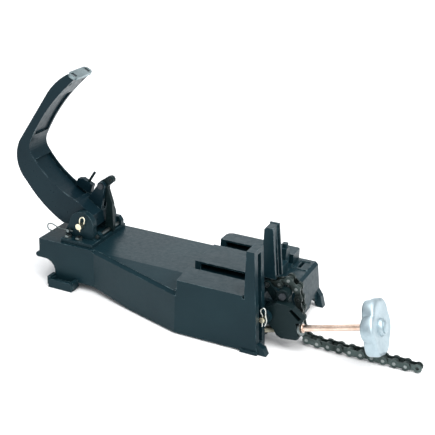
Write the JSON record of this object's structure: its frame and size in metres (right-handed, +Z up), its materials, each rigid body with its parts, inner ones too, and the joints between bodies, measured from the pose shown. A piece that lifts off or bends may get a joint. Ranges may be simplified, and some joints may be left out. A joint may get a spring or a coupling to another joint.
{
  "type": "chain clamping fixture",
  "caption": "Black cast holding fixture: long flared base with rails, a tilting curved support arm, and a roller chain with a screw tensioner and star knob.",
  "frame": {"origin": "midway between the two rear feet's bolt holes, on the floor", "axes": "+X towards the knob and chain, +Y to the far side, +Z up"},
  "size_m": [0.7997, 0.2305, 0.3993],
  "materials": {
    "black_paint": "satin black paint with a cool tint over a fine cast texture",
    "zinc_yellow": "yellow zinc plate",
    "bright_steel": "bright zinc plate",
    "copper_rod": "smooth, with a pale copper tint",
    "cast_aluminium": "as cast, lightly tumbled",
    "chain_steel": "oiled dark steel with worn pin ends",
    "dark_screw": "black oxide",
    "dark_steel": "dark steel, oiled"
  },
  "bodies": {
    "base": {"base_casting": "black_paint", "pivot_bracket": "black_paint", "bracket_bolt_1": "dark_steel", "bracket_bolt_2": "dark_steel", "bracket_bolt_3": "dark_steel", "bracket_bolt_4": "dark_steel", "arm_pivot_pin": "zinc_yellow", "pivot_hairpin": "zinc_yellow", "stop_pin": "dark_steel", "stop_hairpin": "bright_steel", "cross_rod": "dark_steel", "lever_pin": "zinc_yellow", "lever_hairpin": "bright_steel"},
    "arm": {"support_arm": "black_paint", "arm_pad": "bright_steel", "pad_screw_1": "dark_screw", "pad_screw_2": "dark_screw", "brace_pin": "dark_steel", "brace_handle": "black_paint"},
    "brace": {"brace_link": "black_paint"},
    "lever": {"tension_lever": "black_paint", "roller_bolt": "dark_steel", "chain_anchor_pin": "dark_steel", "chain_link_01": "chain_steel", "chain_link_02": "chain_steel", "chain_link_03": "chain_steel", "chain_link_04": "chain_steel", "chain_link_05": "chain_steel", "chain_link_06": "chain_steel", "chain_link_07": "chain_steel", "chain_link_08": "chain_steel"},
    "roller": {"chain_roller": "black_paint"},
    "trunnion": {"trunnion_nut": "bright_steel"},
    "washer": {"thrust_washer": "bright_steel"},
    "screw": {"tension_screw": "copper_rod", "knob": "cast_aluminium", "knob_screw": "bright_steel", "knob_cap": "cast_aluminium"},
    "tail_01": {"chain_link_09": "chain_steel"},
    "tail_02": {"chain_link_10": "chain_steel"},
    "tail_03": {"chain_link_11": "chain_steel"},
    "tail_04": {"chain_link_12": "chain_steel"},
    "tail_05": {"chain_link_13": "chain_steel"},
    "tail_06": {"chain_link_14": "chain_steel"},
    "tail_07": {"chain_link_15": "chain_steel"},
    "tail_08": {"chain_link_16": "chain_steel"},
    "tail_09": {"chain_link_17": "chain_steel"},
    "tail_10": {"chain_link_18": "chain_steel"}
  },
  "joints": [
    {"name": "arm_tilt", "type": "hinge", "parent": "base", "child": "arm", "pos_m": [0.023, 0, 0.12], "axis": [0, 1, 0], "range_deg": [-20, 0]},
    {"name": "brace_swing", "type": "hinge", "parent": "arm", "child": "brace", "pos_m": [0.037, 0.0155, 0.184], "axis": [0, 1, 0], "range_deg": [-35, 0]},
    {"name": "lever_swing", "type": "hinge", "parent": "base", "child": "lever", "pos_m": [0.414, -0.076, 0.058], "axis": [0, 1, 0], "range_deg": [0, 6]},
    {"name": "roller_spin", "type": "hinge", "parent": "lever", "child": "roller", "pos_m": [0.4356, -0.05, 0.0926], "axis": [0, 1, 0], "continuous": true},
    {"name": "trunnion_tilt", "type": "hinge", "parent": "base", "child": "trunnion", "pos_m": [0.396, -0.076, 0.01943], "axis": [0, 1, 0], "range_deg": [0, 3.86]},
    {"name": "screw_travel", "type": "slide", "parent": "trunnion", "child": "washer", "axis": [0.9613, 0, 0.2756], "range_m": [-0.00351, 0]},
    {"name": "screw_turn", "type": "hinge", "parent": "washer", "child": "screw", "pos_m": [0.391, -0.076, 0.018], "axis": [0.9613, 0, 0.2756], "range_deg": [-563.6, 0]},
    {"name": "tail_bend_01", "type": "hinge", "parent": "lever", "child": "tail_01", "pos_m": [0.47695, -0.05, 0.01131], "axis": [0, 1, 0], "range_deg": [-1, 20]},
    {"name": "tail_bend_02", "type": "hinge", "parent": "tail_01", "child": "tail_02", "pos_m": [0.49588, -0.05, 0.00912], "axis": [0, 1, 0], "range_deg": [-1, 20]},
    {"name": "tail_bend_03", "type": "hinge", "parent": "tail_02", "child": "tail_03", "pos_m": [0.51493, -0.05, 0.00912], "axis": [0, 1, 0], "range_deg": [-1, 20]},
    {"name": "tail_bend_04", "type": "hinge", "parent": "tail_03", "child": "tail_04", "pos_m": [0.53398, -0.05, 0.00912], "axis": [0, 1, 0], "range_deg": [-1, 20]},
    {"name": "tail_bend_05", "type": "hinge", "parent": "tail_04", "child": "tail_05", "pos_m": [0.55303, -0.05, 0.00912], "axis": [0, 1, 0], "range_deg": [-1, 20]},
    {"name": "tail_bend_06", "type": "hinge", "parent": "tail_05", "child": "tail_06", "pos_m": [0.57208, -0.05, 0.00912], "axis": [0, 1, 0], "range_deg": [-1, 20]},
    {"name": "tail_bend_07", "type": "hinge", "parent": "tail_06", "child": "tail_07", "pos_m": [0.59113, -0.05, 0.00912], "axis": [0, 1, 0], "range_deg": [-2, 20]},
    {"name": "tail_bend_08", "type": "hinge", "parent": "tail_07", "child": "tail_08", "pos_m": [0.61018, -0.05, 0.00912], "axis": [0, 1, 0], "range_deg": [-8, 20]},
    {"name": "tail_bend_09", "type": "hinge", "parent": "tail_08", "child": "tail_09", "pos_m": [0.62923, -0.05, 0.00912], "axis": [0, 1, 0], "range_deg": [-20, 20]},
    {"name": "tail_bend_10", "type": "hinge", "parent": "tail_09", "child": "tail_10", "pos_m": [0.64828, -0.05, 0.00912], "axis": [0, 1, 0], "range_deg": [-30, 20]}
  ],
  "couplings": [
    {"joint": "trunnion_tilt", "follows": "lever_swing", "ratio": 0.6345},
    {"joint": "screw_travel", "follows": "lever_swing", "m_per_rad": -0.0326},
    {"joint": "screw_turn", "follows": "lever_swing", "ratio": -93.105}
  ]
}
